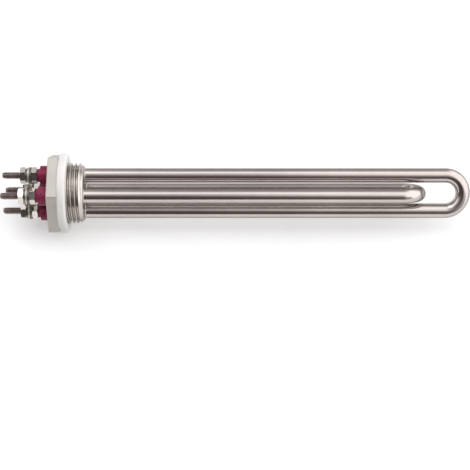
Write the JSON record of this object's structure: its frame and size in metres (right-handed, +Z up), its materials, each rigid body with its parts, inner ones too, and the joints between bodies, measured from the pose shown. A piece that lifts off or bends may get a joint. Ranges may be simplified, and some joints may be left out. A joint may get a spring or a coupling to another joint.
{
  "type": "screw plug immersion heater",
  "caption": "Immersion heater: nested hairpin tubular elements in a hexagon screw plug with a pipe thread, a flat sealing gasket and insulated stud terminals.",
  "frame": {"origin": "on the heater's axis, halfway between the stud tips and the long hairpin's end, which is the centre of its box", "axes": "+X along the heater's axis from the terminals to the hairpins' ends, +Z up with the heater lying on its gasket and two lower legs, +Y to the far side"},
  "size_m": [0.2578, 0.0472, 0.044],
  "materials": {
    "plug_steel": "satin turned and milled steel",
    "sheath_steel": "polished drawn tube, faint lengthwise lines",
    "gasket_silicone": "matt white silicone",
    "bush_resin": "burgundy moulding, low sheen",
    "stud_steel": "darkened threaded rod",
    "nut_steel": "bright nickel-plated steel",
    "washer_steel": "bright nickel-plated steel",
    "end_sealant": "matt sealant",
    "magnesia": "compacted white powder",
    "coil_wire": "oxidised resistance wire"
  },
  "bodies": {
    "root": {"screw_plug": "plug_steel", "sealing_gasket": "gasket_silicone", "long_hairpin_sheath": "sheath_steel", "short_hairpin_sheath": "sheath_steel", "long_magnesia_filler": "magnesia", "short_magnesia_filler": "magnesia", "long_resistance_coil": "coil_wire", "short_resistance_coil": "coil_wire", "end_seal_far_upper": "end_sealant", "end_seal_near_upper": "end_sealant", "end_seal_near_lower": "end_sealant", "end_seal_far_lower": "end_sealant", "insulating_bush_far_upper": "bush_resin", "insulating_bush_near_upper": "bush_resin", "insulating_bush_near_lower": "bush_resin", "insulating_bush_far_lower": "bush_resin", "terminal_stud_far_upper": "stud_steel", "terminal_stud_near_upper": "stud_steel", "terminal_stud_near_lower": "stud_steel", "terminal_stud_far_lower": "stud_steel", "inner_nut_far_upper": "nut_steel", "inner_nut_near_upper": "nut_steel", "inner_nut_near_lower": "nut_steel", "inner_nut_far_lower": "nut_steel", "inner_washer_far_upper": "washer_steel", "inner_washer_near_upper": "washer_steel", "inner_washer_near_lower": "washer_steel", "inner_washer_far_lower": "washer_steel", "outer_washer_far_upper": "washer_steel", "outer_washer_near_upper": "washer_steel", "outer_washer_near_lower": "washer_steel", "outer_washer_far_lower": "washer_steel", "spring_washer_far_upper": "washer_steel", "spring_washer_near_upper": "washer_steel", "spring_washer_near_lower": "washer_steel", "spring_washer_far_lower": "washer_steel", "outer_nut_far_upper": "nut_steel", "outer_nut_near_upper": "nut_steel", "outer_nut_near_lower": "nut_steel", "outer_nut_far_lower": "nut_steel"}
  },
  "joints": []
}
